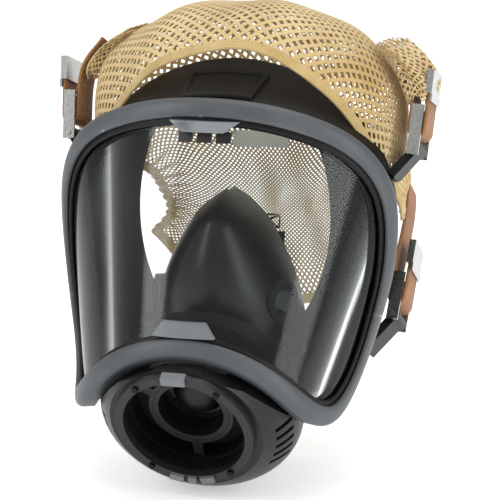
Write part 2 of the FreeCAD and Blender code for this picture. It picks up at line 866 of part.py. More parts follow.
def main():
    os.makedirs("parts", exist_ok=True)
    blank = face_blank()
    net = head_net()
    write("lens", lens())
    write("lens_gasket", lens_gasket())
    write("lens_ring_upper", ring_half_part(True))
    write("lens_ring_lower", ring_half_part(False))
    write("brow_tab", ring_tab(brow_tab, ring_places[0], -1))
    write("chin_tab", ring_tab(chin_tab, ring_places[-1], 1))
    write("ring_screws", ring_screws())
    write("ring_nuts", ring_nuts())
    write("brow_clips", brow_clips())
    write("face_blank", blank)
    write("component_housing", component_housing())
    write("vent_grille_left", vent_grille(1))
    write("vent_grille_right", vent_grille(-1))
    write("speaking_diaphragm", speaking_diaphragm())
    write("diaphragm_retainer", diaphragm_retainer())
    write("port_ring", port_ring())
    write("port_key", port_key())
    write("latch_keeper", latch_keeper())
    write("inlet_seal", inlet_seal())
    write("inlet_tube", inlet_tube())
    write("inlet_spider", inlet_spider())
    write("air_dome", air_dome())
    write("inhalation_valve", inhalation_valve())
    write("exhalation_seat", exhalation_seat())
    write("exhalation_disc", exhalation_disc())
    write("exhalation_spring", exhalation_spring())
    write("exhalation_cover", exhalation_cover())
    write("housing_screws", housing_screws())
    write("nosecup", nosecup())
    write("nosecup_seats", pair(nosecup_valve_seat()))
    write("nosecup_disc_left", nosecup_valve_disc())
    write("nosecup_disc_right", mirrored(nosecup_valve_disc()))
    write("head_net", net)
    write("net_label", sewn_on(label_box))
    write("net_patch", sewn_on(patch_box))
    lugs = [pair(strap_lug(level, blank)) for level in corners]
    write("strap_lugs", Part.makeCompound(lugs))
    pins = [pair(on_corner(buckle_pin(), level, "left")) for level in corners]
    write("buckle_pins", Part.makeCompound(pins))
    for level in corners:
        for side in ("left", "right"):
            name = level + "_" + side
            write("buckle_frame_" + name, on_corner(buckle_frame(), level, side))
            write("buckle_roller_" + name, on_corner(buckle_roller(), level, side))
            write("strap_loop_" + name, on_corner(strap_loop(), level, side))
            write("strap_tab_" + name, on_corner(strap_tab(), level, side))
            write("strap_" + name, strap_run(level, side, net))


main()
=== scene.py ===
import math
import bpy
import numpy as np
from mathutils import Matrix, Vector


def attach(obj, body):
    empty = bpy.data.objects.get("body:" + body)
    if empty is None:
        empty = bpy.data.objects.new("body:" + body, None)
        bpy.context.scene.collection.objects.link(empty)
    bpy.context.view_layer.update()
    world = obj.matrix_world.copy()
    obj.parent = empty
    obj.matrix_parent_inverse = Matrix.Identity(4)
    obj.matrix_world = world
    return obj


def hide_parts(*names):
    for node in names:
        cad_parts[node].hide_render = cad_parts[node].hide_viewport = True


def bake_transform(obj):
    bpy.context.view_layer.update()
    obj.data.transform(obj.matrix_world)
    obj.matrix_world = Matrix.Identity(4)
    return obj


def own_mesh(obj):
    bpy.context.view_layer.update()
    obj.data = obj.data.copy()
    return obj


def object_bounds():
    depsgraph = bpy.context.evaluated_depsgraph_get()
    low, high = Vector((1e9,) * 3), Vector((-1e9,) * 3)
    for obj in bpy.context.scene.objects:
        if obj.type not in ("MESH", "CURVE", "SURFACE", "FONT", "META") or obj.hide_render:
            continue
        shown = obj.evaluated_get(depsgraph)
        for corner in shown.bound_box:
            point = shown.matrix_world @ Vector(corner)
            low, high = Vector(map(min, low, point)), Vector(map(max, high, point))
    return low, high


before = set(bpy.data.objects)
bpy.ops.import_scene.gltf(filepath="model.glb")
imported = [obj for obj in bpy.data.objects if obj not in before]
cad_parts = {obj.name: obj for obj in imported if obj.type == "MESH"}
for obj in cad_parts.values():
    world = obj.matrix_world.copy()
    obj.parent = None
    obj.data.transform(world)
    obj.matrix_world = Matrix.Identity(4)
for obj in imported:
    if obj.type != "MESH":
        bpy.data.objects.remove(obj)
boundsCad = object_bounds()
print("frame loaded")

# Lengths in the pieces' dictionaries are millimetres; camera, lights and meshes are in metres.
perMetre = 0.001


# small helpers for arrays and meshes

def unit(v):
    return v / np.linalg.norm(v, axis=-1, keepdims=True)


def smoothStep(a, b, x):
    # 0 below a, 1 above b, and 3t^2 - 2t^3 between
    t = np.clip((x - a) / (b - a), 0, 1)
    return t * t * (3 - 2 * t)


def splineLoop(points, at):
    # periodic cubic spline through the points, its parameter 0..1 by chord length:
    # on each span, position is the Hermite blend of the end points and of the tangents that
    # make the second derivative continuous
    p = np.asarray(points, float)
    n = len(p)
    h = np.linalg.norm(np.roll(p, -1, 0) - p, axis=1)
    knots = np.concatenate([[0], np.cumsum(h)])
    a = np.zeros((n, n))
    i = np.arange(n)
    hb = np.roll(h, 1)
    a[i, (i - 1) % n] = h
    a[i, i] = 2 * (h + hb)
    a[i, (i + 1) % n] = hb
    slope = (np.roll(p, -1, 0) - p) / h[:, None]
    rhs = 3 * (h[:, None] * np.roll(slope, 1, 0) + hb[:, None] * slope)
    m = np.linalg.solve(a, rhs)
    s = np.mod(at, 1.0) * knots[-1]
    k = np.clip(np.searchsorted(knots, s, side="right") - 1, 0, n - 1)
    t = ((s - knots[k]) / h[k])[:, None]
    hk = h[k][:, None]
    p0, p1, m0, m1 = p[k], p[(k + 1) % n], m[k], m[(k + 1) % n]
    return ((2 * t**3 - 3 * t**2 + 1) * p0 + (t**3 - 2 * t**2 + t) * hk * m0
            + (-2 * t**3 + 3 * t**2) * p1 + (t**3 - t**2) * hk * m1)


def roundCorners(poly, radius, steps=4):
    # each corner of closed polygons (..., k, d) becomes a quadratic curve that starts and ends
    # a radius away along its two sides
    poly = np.asarray(poly, float)
    before = np.roll(poly, 1, -2) - poly
    after = np.roll(poly, -1, -2) - poly
    reach = np.broadcast_to(np.asarray(radius, float), poly.shape[-2:-1])
    reach = reach.reshape((1,) * (poly.ndim - 2) + (-1, 1))
    lb = np.linalg.norm(before, axis=-1, keepdims=True)
    la = np.linalg.norm(after, axis=-1, keepdims=True)
    start = poly + before / lb * np.minimum(reach, 0.48 * lb)
    end = poly + after / la * np.minimum(reach, 0.48 * la)
    t = np.linspace(0, 1, steps + 1)[:, None]
    curve = ((1 - t)**2 * start[..., None, :] + 2 * t * (1 - t) * poly[..., None, :]
             + t**2 * end[..., None, :])
    return curve.reshape(poly.shape[:-2] + (-1, poly.shape[-1]))


def makePiece(name, verts, faces, material, sharp=38, uv=None):
    mesh = bpy.data.meshes.new(name)
    mesh.from_pydata((np.asarray(verts).reshape(-1, 3) * perMetre).tolist(), [], faces)
    mesh.update()
    mesh.polygons.foreach_set("use_smooth", np.ones(len(mesh.polygons), bool))
    mesh.set_sharp_from_angle(angle=math.radians(sharp))
    if uv is not None:
        index = np.empty(len(mesh.loops), int)
        mesh.loops.foreach_get("vertex_index", index)
        layer = mesh.uv_layers.new(name="cloth")
        layer.data.foreach_set("uv", np.asarray(uv).reshape(-1, 2)[index].ravel())
    mesh.materials.append(material)
    piece = bpy.data.objects.new(name, mesh)
    bpy.context.collection.objects.link(piece)
    return piece


def gridFaces(rows, cols, closedRows, closedCols, start=0):
    # quads of a grid of vertices; a closed direction joins its last line to its first
    r = np.arange(rows if closedRows else rows - 1)
    c = np.arange(cols if closedCols else cols - 1)
    r, c = np.meshgrid(r, c, indexing="ij")
    r1, c1 = (r + 1) % rows, (c + 1) % cols
    quads = np.stack([r * cols + c, r * cols + c1, r1 * cols + c1, r1 * cols + c], -1)
    return quads.reshape(-1, 4) + start


def sweep(name, sections, material, closedPath=False, flip=False, sharp=38, uv=None):
    # closed cross-sections carried along a path, with a face over each end of an open path
    rows, cols = sections.shape[:2]
    faces = gridFaces(rows, cols, closedPath, True).tolist()
    if not closedPath:
        faces += [list(range(cols))[::-1], list(range((rows - 1) * cols, rows * cols))]
    if flip:
        faces = [f[::-1] for f in faces]
    return makePiece(name, sections, faces, material, sharp, uv)


def outward(piece):
    # turns the faces outwards when the solid's signed volume says they point in
    mesh = piece.data
    mesh.calc_loop_triangles()
    v = np.empty(len(mesh.vertices) * 3)
    mesh.vertices.foreach_get("co", v)
    t = np.empty(len(mesh.loop_triangles) * 3, int)
    mesh.loop_triangles.foreach_get("vertices", t)
    a, b, c = v.reshape(-1, 3)[t.reshape(-1, 3)].transpose(1, 0, 2)
    if np.einsum("ij,ij->i", a, np.cross(b, c)).sum() < 0:
        mesh.flip_normals()
    return piece


# materials

def hexColour(text):
    # sRGB hex to linear
    c = np.array([int(text[i:i + 2], 16) for i in (1, 3, 5)]) / 255
    c = np.where(c <= 0.04045, c / 12.92, ((c + 0.055) / 1.055)**2.4)
    return (*c.tolist(), 1.0)


def addNode(tree, kind, settings=None, links=None):
    # settings go to the node's own properties or, by name or number, to its sockets
    node = tree.nodes.new(kind)
    for key, value in (settings or {}).items():
        if isinstance(key, str) and hasattr(node, key):
            setattr(node, key, value)
        else:
            node.inputs[key].default_value = value
    for key, source in (links or {}).items():
        tree.links.new(source, node.inputs[key])
    return node


def newMaterial(name):
    material = bpy.data.materials.new(name)
    material.use_nodes = True
    tree = material.node_tree
    tree.nodes.clear()
    return material, tree


def ramp(tree, source, stops):
    node = addNode(tree, "ShaderNodeValToRGB", {}, {"Fac": source})
    ends = node.color_ramp.elements
    for place, colour in stops[2:]:
        ends.new(place)
    for element, (place, colour) in zip(ends, sorted(stops)):
        element.position = place
        element.color = colour
    return node.outputs["Color"]


def mouldedFinish(name, dark, light, rough, grain, bump, patches=40.0, settings=None, wear=None):
    # a moulded surface: two near shades in soft patches, a fine grain in the bump, and, where
    # given, a lighter shade on the edges that get rubbed
    material, tree = newMaterial(name)
    place = addNode(tree, "ShaderNodeTexCoord").outputs["Object"]
    cloud = addNode(tree, "ShaderNodeTexNoise", {"Scale": patches, "Detail": 4.0}, {"Vector": place})
    fine = addNode(tree, "ShaderNodeTexNoise", {"Scale": 1000 / grain, "Detail": 2.0}, {"Vector": place})
    colour = ramp(tree, cloud.outputs["Fac"], [(0.35, hexColour(dark)), (0.68, hexColour(light))])
    if wear:
        edge = addNode(tree, "ShaderNodeNewGeometry").outputs["Pointiness"]
        rub = addNode(tree, "ShaderNodeMapRange", {"From Min": 0.52, "From Max": 0.62}, {"Value": edge})
        mix = addNode(tree, "ShaderNodeMix", {"data_type": "RGBA"}, {0: rub.outputs[0], 6: colour})
        mix.inputs[7].default_value = hexColour(wear)
        colour = mix.outputs[2]
    roughness = addNode(tree, "ShaderNodeMapRange", {"To Min": rough - 0.06, "To Max": rough + 0.08},
                        {"Value": cloud.outputs["Fac"]})
    relief = addNode(tree, "ShaderNodeBump", {"Strength": bump, "Distance": 0.0002},
                     {"Height": fine.outputs["Fac"]})
    shader = addNode(tree, "ShaderNodeBsdfPrincipled", settings,
                     {"Base Color": colour, "Roughness": roughness.outputs[0],
                      "Normal": relief.outputs["Normal"]})
    addNode(tree, "ShaderNodeOutputMaterial", {}, {"Surface": shader.outputs[0]})
    return material


def metalFinish(name, shade, other, rough, grain=0.6):
    # rolled or pressed steel: fine scratches one way and cloudy roughness
    material, tree = newMaterial(name)
    place = addNode(tree, "ShaderNodeTexCoord").outputs["Object"]
    stretch = addNode(tree, "ShaderNodeMapping", {"Scale": (1.0, 1.0, 0.12)}, {"Vector": place})
    lines = addNode(tree, "ShaderNodeTexNoise", {"Scale": 1000 / grain, "Detail": 2.0},
                    {"Vector": stretch.outputs[0]})
    colour = ramp(tree, lines.outputs["Fac"], [(0.3, hexColour(shade)), (0.7, hexColour(other))])
    roughness = addNode(tree, "ShaderNodeMapRange", {"To Min": rough - 0.03, "To Max": rough + 0.05},
                        {"Value": lines.outputs["Fac"]})
    relief = addNode(tree, "ShaderNodeBump", {"Strength": 0.02, "Distance": 0.0001},
                     {"Height": lines.outputs["Fac"]})
    shader = addNode(tree, "ShaderNodeBsdfPrincipled", {"Metallic": 1.0},
                     {"Base Color": colour, "Roughness": roughness.outputs[0],
                      "Normal": relief.outputs["Normal"]})
    addNode(tree, "ShaderNodeOutputMaterial", {}, {"Surface": shader.outputs[0]})
    return material


def clothFinish(name, dark, light, thread, bump, rough=0.85):
    # woven cloth: two crossing sets of threads a real spacing apart, darker between them, on the
    # piece's own cloth map, which is in metres
    material, tree = newMaterial(name)
    place = addNode(tree, "ShaderNodeUVMap", {"uv_map": "cloth"}).outputs["UV"]
    # a wave node at scale 1 makes a band every 2 pi / 20 of a unit
    bands = 2 * math.pi / 20 / (thread * perMetre)
    sets = []
    for axis in ("X", "Y"):
        wave = addNode(tree, "ShaderNodeTexWave", {"bands_direction": axis, "Scale": bands,
                                                   "Distortion": 0.6, "Detail": 1.0}, {"Vector": place})
        sets.append(wave.outputs["Fac"])
    weave = addNode(tree, "ShaderNodeMath", {"operation": "MULTIPLY"}, {0: sets[0], 1: sets[1]})
    cloud = addNode(tree, "ShaderNodeTexNoise", {"Scale": 60.0, "Detail": 5.0}, {"Vector": place})
    both = addNode(tree, "ShaderNodeMath", {"operation": "MULTIPLY_ADD", 1: 0.6},
                   {0: weave.outputs[0], 2: cloud.outputs["Fac"]})
    colour = ramp(tree, both.outputs[0], [(0.42, hexColour(dark)), (0.85, hexColour(light))])
    relief = addNode(tree, "ShaderNodeBump", {"Strength": bump, "Distance": 0.0004},
                     {"Height": weave.outputs[0]})
    shader = addNode(tree, "ShaderNodeBsdfPrincipled",
                     {"Roughness": rough, "Sheen Weight": 0.25, "Sheen Roughness": 0.5,
                      "Specular IOR Level": 0.2}, {"Base Color": colour, "Normal": relief.outputs["Normal"]})
    addNode(tree, "ShaderNodeOutputMaterial", {}, {"Surface": shader.outputs[0]})
    return material


def threadFinish(name, dark, light, spacing):
    # fluffy undyed yarn: a fine crossing grain in the object's own space
    material, tree = newMaterial(name)
    place = addNode(tree, "ShaderNodeTexCoord").outputs["Object"]
    yarn = addNode(tree, "ShaderNodeTexNoise", {"Scale": 1000 / spacing, "Detail": 3.0}, {"Vector": place})
    cloud = addNode(tree, "ShaderNodeTexNoise", {"Scale": 22.0, "Detail": 3.0}, {"Vector": place})
    both = addNode(tree, "ShaderNodeMath", {"operation": "MULTIPLY_ADD", 1: 0.45},
                   {0: yarn.outputs["Fac"], 2: cloud.outputs["Fac"]})
    colour = ramp(tree, both.outputs[0], [(0.52, hexColour(dark)), (0.9, hexColour(light))])
    relief = addNode(tree, "ShaderNodeBump", {"Strength": 0.5, "Distance": 0.0003},
                     {"Height": yarn.outputs["Fac"]})
    shader = addNode(tree, "ShaderNodeBsdfPrincipled",
                     {"Roughness": 0.8, "Sheen Weight": 0.2, "Specular IOR Level": 0.25,
                      "Subsurface Weight": 0.0}, {"Base Color": colour, "Normal": relief.outputs["Normal"]})
    addNode(tree, "ShaderNodeOutputMaterial", {}, {"Surface": shader.outputs[0]})
    return material


def visorFinish(name):
    # clear polished polycarbonate: nearly all light goes through, and the rest is mirrored, more
    # at a slant; faint smears in the gloss
    material, tree = newMaterial(name)
    place = addNode(tree, "ShaderNodeTexCoord").outputs["Object"]
    smear = addNode(tree, "ShaderNodeTexNoise", {"Scale": 30.0, "Detail": 4.0}, {"Vector": place})
    rough = addNode(tree, "ShaderNodeMapRange", {"To Min": 0.06, "To Max": 0.12},
                    {"Value": smear.outputs["Fac"]})
    clear = addNode(tree, "ShaderNodeBsdfTransparent", {"Color": hexColour("#f3f6f5")})
    gloss = addNode(tree, "ShaderNodeBsdfGlossy", {"Color": hexColour("#ffffff")},
                    {"Roughness": rough.outputs[0]})
    facing = addNode(tree, "ShaderNodeFresnel", {"IOR": 1.28})
    both = addNode(tree, "ShaderNodeMixShader", {}, {0: facing.outputs[0], 1: clear.outputs[0],
                                                     2: gloss.outputs[0]})
    addNode(tree, "ShaderNodeOutputMaterial", {}, {"Surface": both.outputs[0]})
    return material


# glass-filled nylon, moulded: mid grey, satin, lighter where its edges are rubbed
ringNylon = mouldedFinish("moulded_grey_nylon", "#464a4d", "#505457", 0.42, 0.35, 0.12, wear="#7c8184")
# the same nylon in a lighter grey, for tabs and keys
keyNylon = mouldedFinish("moulded_light_grey_nylon", "#66696c", "#74787b", 0.45, 0.35, 0.1)
# EPDM rubber from a spark-eroded mould: near black, matt with a soft sheen
sealRubber = mouldedFinish("moulded_epdm_rubber", "#060607", "#0b0b0c", 0.44, 1.5, 0.002,
                           settings={"Specular IOR Level": 0.28})
# silicone rubber from a polished mould: black with a wet-looking soft gloss
cupSilicone = mouldedFinish("moulded_silicone", "#060607", "#0b0b0c", 0.32, 1.5, 0.002,
                            settings={"Specular IOR Level": 0.4})
# PA6 housing from a finely textured mould: black, satin
housingNylon = mouldedFinish("moulded_black_nylon", "#08080a", "#101012", 0.36, 0.3, 0.15, wear="#202021",
                             settings={"Specular IOR Level": 0.35})
# thin silicone discs, moulded: grey, with a soft shine
valveSilicone = mouldedFinish("moulded_valve_silicone", "#3c3d3f", "#4a4b4d", 0.4, 0.8, 0.05)
# screws with a black oxide finish, oiled: dark, with a dull shine
blackSteel = metalFinish("black_oxide_steel", "#1c1c1e", "#2b2b2d", 0.38)
# zinc plated steel wire and screws: bluish grey, half bright
platedSteel = metalFinish("zinc_plated_steel", "#8f9092", "#b5b6b8", 0.34)
# stainless strip, pressed and tumbled: bright, with a soft blur
pressedSteel = metalFinish("pressed_stainless_steel", "#a2a2a0", "#b9b9b6", 0.26)
# undyed aramid yarn, knitted: straw yellow, fluffy, matt
meshAramid = threadFinish("raschel_knit_aramid", "#b99a62", "#dcc492", 0.5)
# the same yarn folded into a hem: a shade deeper, closely woven
hemAramid = clothFinish("folded_aramid_tape", "#b39760", "#d2b983", 0.9, 0.5)
# heat resistant webbing, woven: tan, ribbed, matt
strapAramid = clothFinish("woven_tan_webbing", "#80542f", "#a67546", 1.1, 0.8)
# sewn cloth label with nothing on it: white, faintly fibrous
labelCloth = threadFinish("woven_blank_label", "#dededa", "#f8f8f5", 0.5)
# hook tape patch: black, rough
hookTape = threadFinish("black_hook_tape", "#0b0b0c", "#1f1f21", 1.4)
# twisted sewing thread: black, matt
blackThread = threadFinish("black_sewing_thread", "#0a0a0b", "#1c1c1e", 0.4)
# polycarbonate, moulded and hard coated: clear, mirrored at a slant
visorClear = visorFinish("polished_polycarbonate")
print("materials made")


# camera, light and floor

camera = {"azimuth": 17.0, "elevation": 9.0, "distance": 1.034, "focal": 154.8,
          "pivot": (0.0, -0.0434, 0.050), "aim": (0.0213, -0.0465, -0.0081)}
az, el = math.radians(camera["azimuth"]), math.radians(camera["elevation"])
back = Vector((math.sin(az) * math.cos(el), -math.cos(az) * math.cos(el), math.sin(el)))
eye = bpy.data.objects.new("camera", bpy.data.cameras.new("camera"))
bpy.context.collection.objects.link(eye)
eye.location = Vector(camera["pivot"]) + back * camera["distance"]
eye.rotation_euler = (eye.location - Vector(camera["aim"])).to_track_quat("Z", "Y").to_euler()
eye.data.lens = camera["focal"]
eye.data.sensor_width = 36.0
bpy.context.scene.camera = eye


def softLight(name, place, target, size, power):
    lamp = bpy.data.lights.new(name, "AREA")
    lamp.shape = "RECTANGLE"
    lamp.size, lamp.size_y = size
    lamp.energy = power
    holder = bpy.data.objects.new(name, lamp)
    bpy.context.collection.objects.link(holder)
    holder.location = place
    holder.rotation_euler = (Vector(place) - Vector(target)).to_track_quat("Z", "Y").to_euler()
    return holder


middle = (0.0, 0.0, -0.01)
softLight("keyLeft", (-1.1, -1.1, 0.9), middle, (0.5, 1.2), 9)
softLight("fillRight", (1.3, -0.6, 0.35), middle, (0.6, 1.3), 8)
softLight("topSoft", (0.1, 0.1, 1.5), middle, (1.4, 1.4), 9)
softLight("rearLow", (0.2, 1.4, 0.5), middle, (1.2, 1.0), 5)

world = bpy.data.worlds.new("studio")
world.use_nodes = True
world.node_tree.nodes["Background"].inputs["Color"].default_value = hexColour("#ffffff")
world.node_tree.nodes["Background"].inputs["Strength"].default_value = 0.62
bpy.context.scene.world = world
bpy.context.scene.view_settings.view_transform = "Standard"

floorZ = boundsCad[0][2] / perMetre - 0.5
floorSize = 30000.0
floorMat = mouldedFinish("matt_white_paper", "#f6f6f6", "#fafafa", 0.9, 2.0, 0.02,
                         settings={"Emission Color": hexColour("#ffffff"), "Emission Strength": 0.42})
corner = np.array([[-1, -1], [1, -1], [1, 1], [-1, 1]]) * floorSize
floor = makePiece("floor", np.column_stack([corner, np.full(4, floorZ)]), [[0, 1, 2, 3]], floorMat)
print("studio made")


# the lens's cone and the clamping ring's line on it

cone = {"radius": 90.0, "taper": 0.30, "front": -66.5, "lean": 0.3745, "wall": 2.5, "edge": 1.6,
        "sideTrim": 0.012}
ringLine = [(0, 58.5), (12, 57), (25, 51.5), (38, 42), (50, 28), (59, 13), (66, -3), (73, -22),
            (78.5, -42), (82.5, -60), (83, -72), (79, -81), (71, -84), (60, -81), (48, -73.5),
            (38, -66), (25, -57), (12, -51), (0, -49)]
ring = {"half": 6.0, "lap": 4.0, "face": 2.8, "wall": 2.2, "depth": 4.4, "split": -42.0, "gap": 0.2,
        "lip": 2.2, "bead": 6.6, "groove": 3.6, "seam": 0.12, "slack": 0.3, "cheek": 55.0}


def coneCentre(z):
    # how far back the circle at a height has its middle
    return cone["front"] + cone["lean"] * z + cone["radius"] + cone["taper"] * z


def onCone(turn, z, inset=0.0):
    # a circle at every height, whose middle and radius change steadily with height
    r = cone["radius"] + cone["taper"] * z
    p = np.stack([r * np.sin(turn), coneCentre(z) - r * np.cos(turn), z + 0 * turn], -1)
    return p - coneNormal(turn) * inset


def coneNormal(turn):
    # (sin t, -cos t, slope) made unit length, the slope from the cone's lean and taper
    rise = (cone["lean"] + cone["taper"]) * np.cos(turn) - cone["taper"]
    return unit(np.stack([np.sin(turn), -np.cos(turn), rise + 0 * turn], -1))


half = np.array(ringLine)
turns = np.radians(np.concatenate([half[:, 0], -half[-2:0:-1, 0]]))
heights = np.concatenate([half[:, 1], half[-2:0:-1, 1]])
ringPoints = onCone(turns, heights)


def ringAt(s):
    # the ring's middle line at parameters s, with its directions away from the lens and out of it
    p = splineLoop(ringPoints, s)
    step = 1e-4
    along = unit(splineLoop(ringPoints, s + step) - splineLoop(ringPoints, s - step))
    out = coneNormal(np.arctan2(p[:, 0], coneCentre(p[:, 2]) - p[:, 1]))
    return p, unit(np.cross(out, along)), out


def ringSections(s, profile):
    # a flat profile (away from the lens, out of it) carried along the ring's middle line
    p, across, out = ringAt(s)
    profile = np.asarray(profile)
    return (p[:, None] + across[:, None] * profile[None, :, :1] + out[:, None] * profile[None, :, 1:])


# where the two halves meet, found on the middle line beside the cheek
probe = np.linspace(0, 0.5, 4001)
probePlace = splineLoop(ringPoints, probe)
sideways = probePlace[:, 0] > ring["cheek"]
jointAt = probe[sideways][np.argmin(np.abs(probePlace[sideways, 2] - ring["split"]))]
lineLength = np.linalg.norm(np.diff(probePlace, axis=0), axis=1).sum() * 2
seam = ring["seam"] / lineLength


def clampRing():
    # an L-shaped moulding: a band over the rubber, crowned, and a rim round its outside
    under = ring["lip"] + ring["gap"]
    top = under + ring["face"]
    inside = ring["half"] - ring["wall"]
    profile = [(-ring["lap"], under), (-ring["lap"], top - 0.9), (-1.5, top),
               (ring["half"] - 2.4, top - 0.1), (ring["half"], top - 2.6), (ring["half"], -ring["depth"]),
               (inside, -ring["depth"]), (inside, under)]
    reach = [0.4, 0.8, 2.0, 2.0, 1.8, 0.5, 0.3, 0.3]
    profile = roundCorners(profile, reach)
    over = np.linspace(-jointAt + seam, jointAt - seam, 420)
    below = np.linspace(jointAt + seam, 1 - jointAt - seam, 300)
    for name, s, node in (("ring_upper", over, "lens_ring_upper"), ("ring_lower", below, "lens_ring_lower")):
        piece = outward(sweep(name, ringSections(s, profile), ringNylon, sharp=50))
        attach(piece, "mask")
        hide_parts(node)


def lensGasket():
    # the groove's rubber, a thick lip in front of the lens and one behind it
    backFace = -cone["wall"] - ring["lip"]
    slot = cone["edge"] + ring["gap"]
    slack = ring["slack"]
    profile = [(-ring["bead"], slack), (-ring["bead"], ring["lip"] - 0.2), (ring["groove"], ring["lip"]),
               (ring["groove"], backFace), (-ring["bead"], backFace),
               (-ring["bead"], -cone["wall"] - slack), (slot, -cone["wall"] - slack), (slot, slack)]
    profile = roundCorners(profile, [0.3, 1.2, 0.4, 0.4, 1.0, 0.3, 0.2, 0.2])
    bead = outward(sweep("lens_bead", ringSections(np.linspace(0, 1, 601)[:-1], profile), sealRubber,
                         closedPath=True, sharp=50))
    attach(bead, "mask")
    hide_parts("lens_gasket")


def visor():
    # generators of the cone between the lower and upper edges, as a closed shell
    s = np.linspace(0, 0.5, 1500)
    p, across, _ = ringAt(s)
    edge = p + across * cone["edge"]
    turn = np.arctan2(edge[:, 0], coneCentre(edge[:, 2]) - edge[:, 1])
    widest = int(np.argmax(turn))
    last = turn[widest] - cone["sideTrim"]
    t = np.linspace(-last, last, 181)
    rise = np.maximum.accumulate(turn[:widest + 1])
    fall = np.maximum.accumulate(turn[widest:][::-1])
    high = np.interp(np.abs(t), rise, edge[:widest + 1, 2])
    low = np.interp(np.abs(t), fall, edge[widest:][::-1, 2])
    share = np.linspace(0, 1, 60)
    z = low[:, None] + (high - low)[:, None] * share[None]
    tt = np.repeat(t[:, None], len(share), 1)
    front = onCone(tt, z)
    rear = onCone(tt, z, cone["wall"])[:, ::-1]
    lens = outward(sweep("visor", np.concatenate([front, rear], 1), visorClear, sharp=50))
    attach(lens, "mask")
    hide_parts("lens")


clampRing()
lensGasket()
visor()
print("lens and ring made")


# port frame: x across, v up the face of the port, w out of its mouth

port = {"centre": (0.0, -82.9, -87.2), "tilt": 28.0}
pa = math.radians(port["tilt"])
portX = np.array([1.0, 0, 0])
portV = np.array([0, -math.sin(pa), math.cos(pa)])
portW = np.array([0, -math.cos(pa), -math.sin(pa)])


def inPort(x, v, w):
    # from the port's own directions to the object's
    x, v, w = np.broadcast_arrays(x, v, w)
    return (np.array(port["centre"]) + x[..., None] * portX + v[..., None] * portV + w[..., None] * portW)


# rubber face piece

blank = {"skirt": 2.4, "lipWall": 1.6, "openHalf": (50.0, 72.0), "shoulder": (84.0, 79.0, 112.0),
         "depth": 11.0, "oval": (-46.0, -8.0, 44.0, 40.0), "ovalGap": 1.5}


def ovalPlace(t, wide, up, down, y):
    # an oval at depth y: wide sin t across, and up or down times cos t in height
    reach = np.where(np.cos(t) > 0, up, down)
    return np.stack([wide * np.sin(t), y + 0 * t, reach * np.cos(t)], -1)


def blankEdges():
    # the rubber's front edge: behind the ring, and round the back of the housing
    s = np.linspace(0, 0.5, 31)
    p, across, out = ringAt(s)
    backFace = -cone["wall"] - ring["lip"] - ring["gap"]
    stop = np.argmax((p[:, 2] < -76) | ((p[:, 2] < -60) & (p[:, 0] < 64)))
    outer = p[:stop] + across[:stop] * ring["groove"] + out[:stop] * backFace
    inner = outer - across[:stop] * blank["skirt"]
    w, v, a, b = blank["oval"]
    t = np.radians(np.arange(110, 181, 10))
    grow = blank["ovalGap"] + blank["skirt"]
    outerLow = inPort((a + grow) * np.sin(t), v + (b + grow) * np.cos(t), w)
    grow = blank["ovalGap"]
    innerLow = inPort((a + grow) * np.sin(t), v + (b + grow) * np.cos(t), w)
    loops = []
    for top, low in ((outer, outerLow), (inner, innerLow)):
        right = np.concatenate([top, low])
        left = right[1:-1][::-1] * np.array([-1, 1, 1])
        loops.append(splineLoop(np.concatenate([right, left]), np.linspace(0, 1, 401)[:-1]))
    return loops


def faceBlank():
    # from its front edge the skin runs back to a shoulder and turns inwards to the sealing lip
    outer, inner = blankEdges()
    wide, up, down = blank["shoulder"]
    low = np.where(outer[:, 2] < 0, down, up)
    t = np.arctan2(outer[:, 0] / wide, outer[:, 2] / low)
    wall = blank["skirt"]
    shoulder = ovalPlace(t, wide, up, down, blank["depth"])
    inside = ovalPlace(t, wide - wall, up - wall, down - wall, blank["depth"] - wall)
    lip = ovalPlace(t, *blank["openHalf"], blank["openHalf"][1], blank["lipWall"] / 2)
    front = lip - np.array([0, blank["lipWall"], 0])
    poly = np.stack([outer, shoulder, lip, front, inside, inner], 1)
    poly = roundCorners(poly, [0.5, 7.0, 0.7, 0.7, 5.5, 0.5], steps=7)
    piece = outward(sweep("face_rubber", poly, sealRubber, closedPath=True, sharp=60))
    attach(piece, "mask")
    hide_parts("face_blank")


panel = {"width": 36.0, "from": 0.14, "to": 0.66, "rise": 1.9, "frame": 2.2, "field": 1.1,
         "sink": 1.0}


def brow(x, share):
    # the rubber's outer skin over the forehead: straight from the front edge to the shoulder
    s = x / lineLength
    p, across, out = ringAt(s.ravel())
    backFace = -cone["wall"] - ring["lip"] - ring["gap"]
    frontEdge = p + across * ring["groove"] + out * backFace
    wide, up, down = blank["shoulder"]
    t = np.arctan2(frontEdge[:, 0] / wide, frontEdge[:, 2] / up)
    rear = ovalPlace(t, wide, up, down, blank["depth"])
    k = share.ravel()[:, None]
    return (frontEdge * (1 - k) + rear * k).reshape(x.shape + (3,))


def browPanel():
    # a plain framed plate: a raised rim round a slightly sunk field
    x = np.linspace(-panel["width"] / 2, panel["width"] / 2, 90)
    k = np.linspace(panel["from"], panel["to"], 50)
    x, k = np.meshgrid(x, k, indexing="ij")
    base = brow(x, k)
    normal = unit(np.cross(np.gradient(base, axis=0), np.gradient(base, axis=1)))
    normal = normal * np.sign(normal[..., 2:3])
    tall = np.linalg.norm(base[45, -1] - base[45, 0])
    inX = panel["width"] / 2 - np.abs(x)
    inK = tall / 2 - np.abs(k - (panel["from"] + panel["to"]) / 2) / (panel["to"] - panel["from"]) * tall
    inset = np.minimum(inX, inK)
    rise = panel["rise"] * smoothStep(0, 0.9, inset)
    rise = rise - panel["field"] * smoothStep(panel["frame"], panel["frame"] + 0.7, inset)
    top = base + normal * rise[..., None]
    bottom = base - normal * panel["sink"]
    piece = outward(sweep("brow_plate", np.concatenate([top, bottom[:, ::-1]], 1), sealRubber, sharp=45))
    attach(piece, "mask")


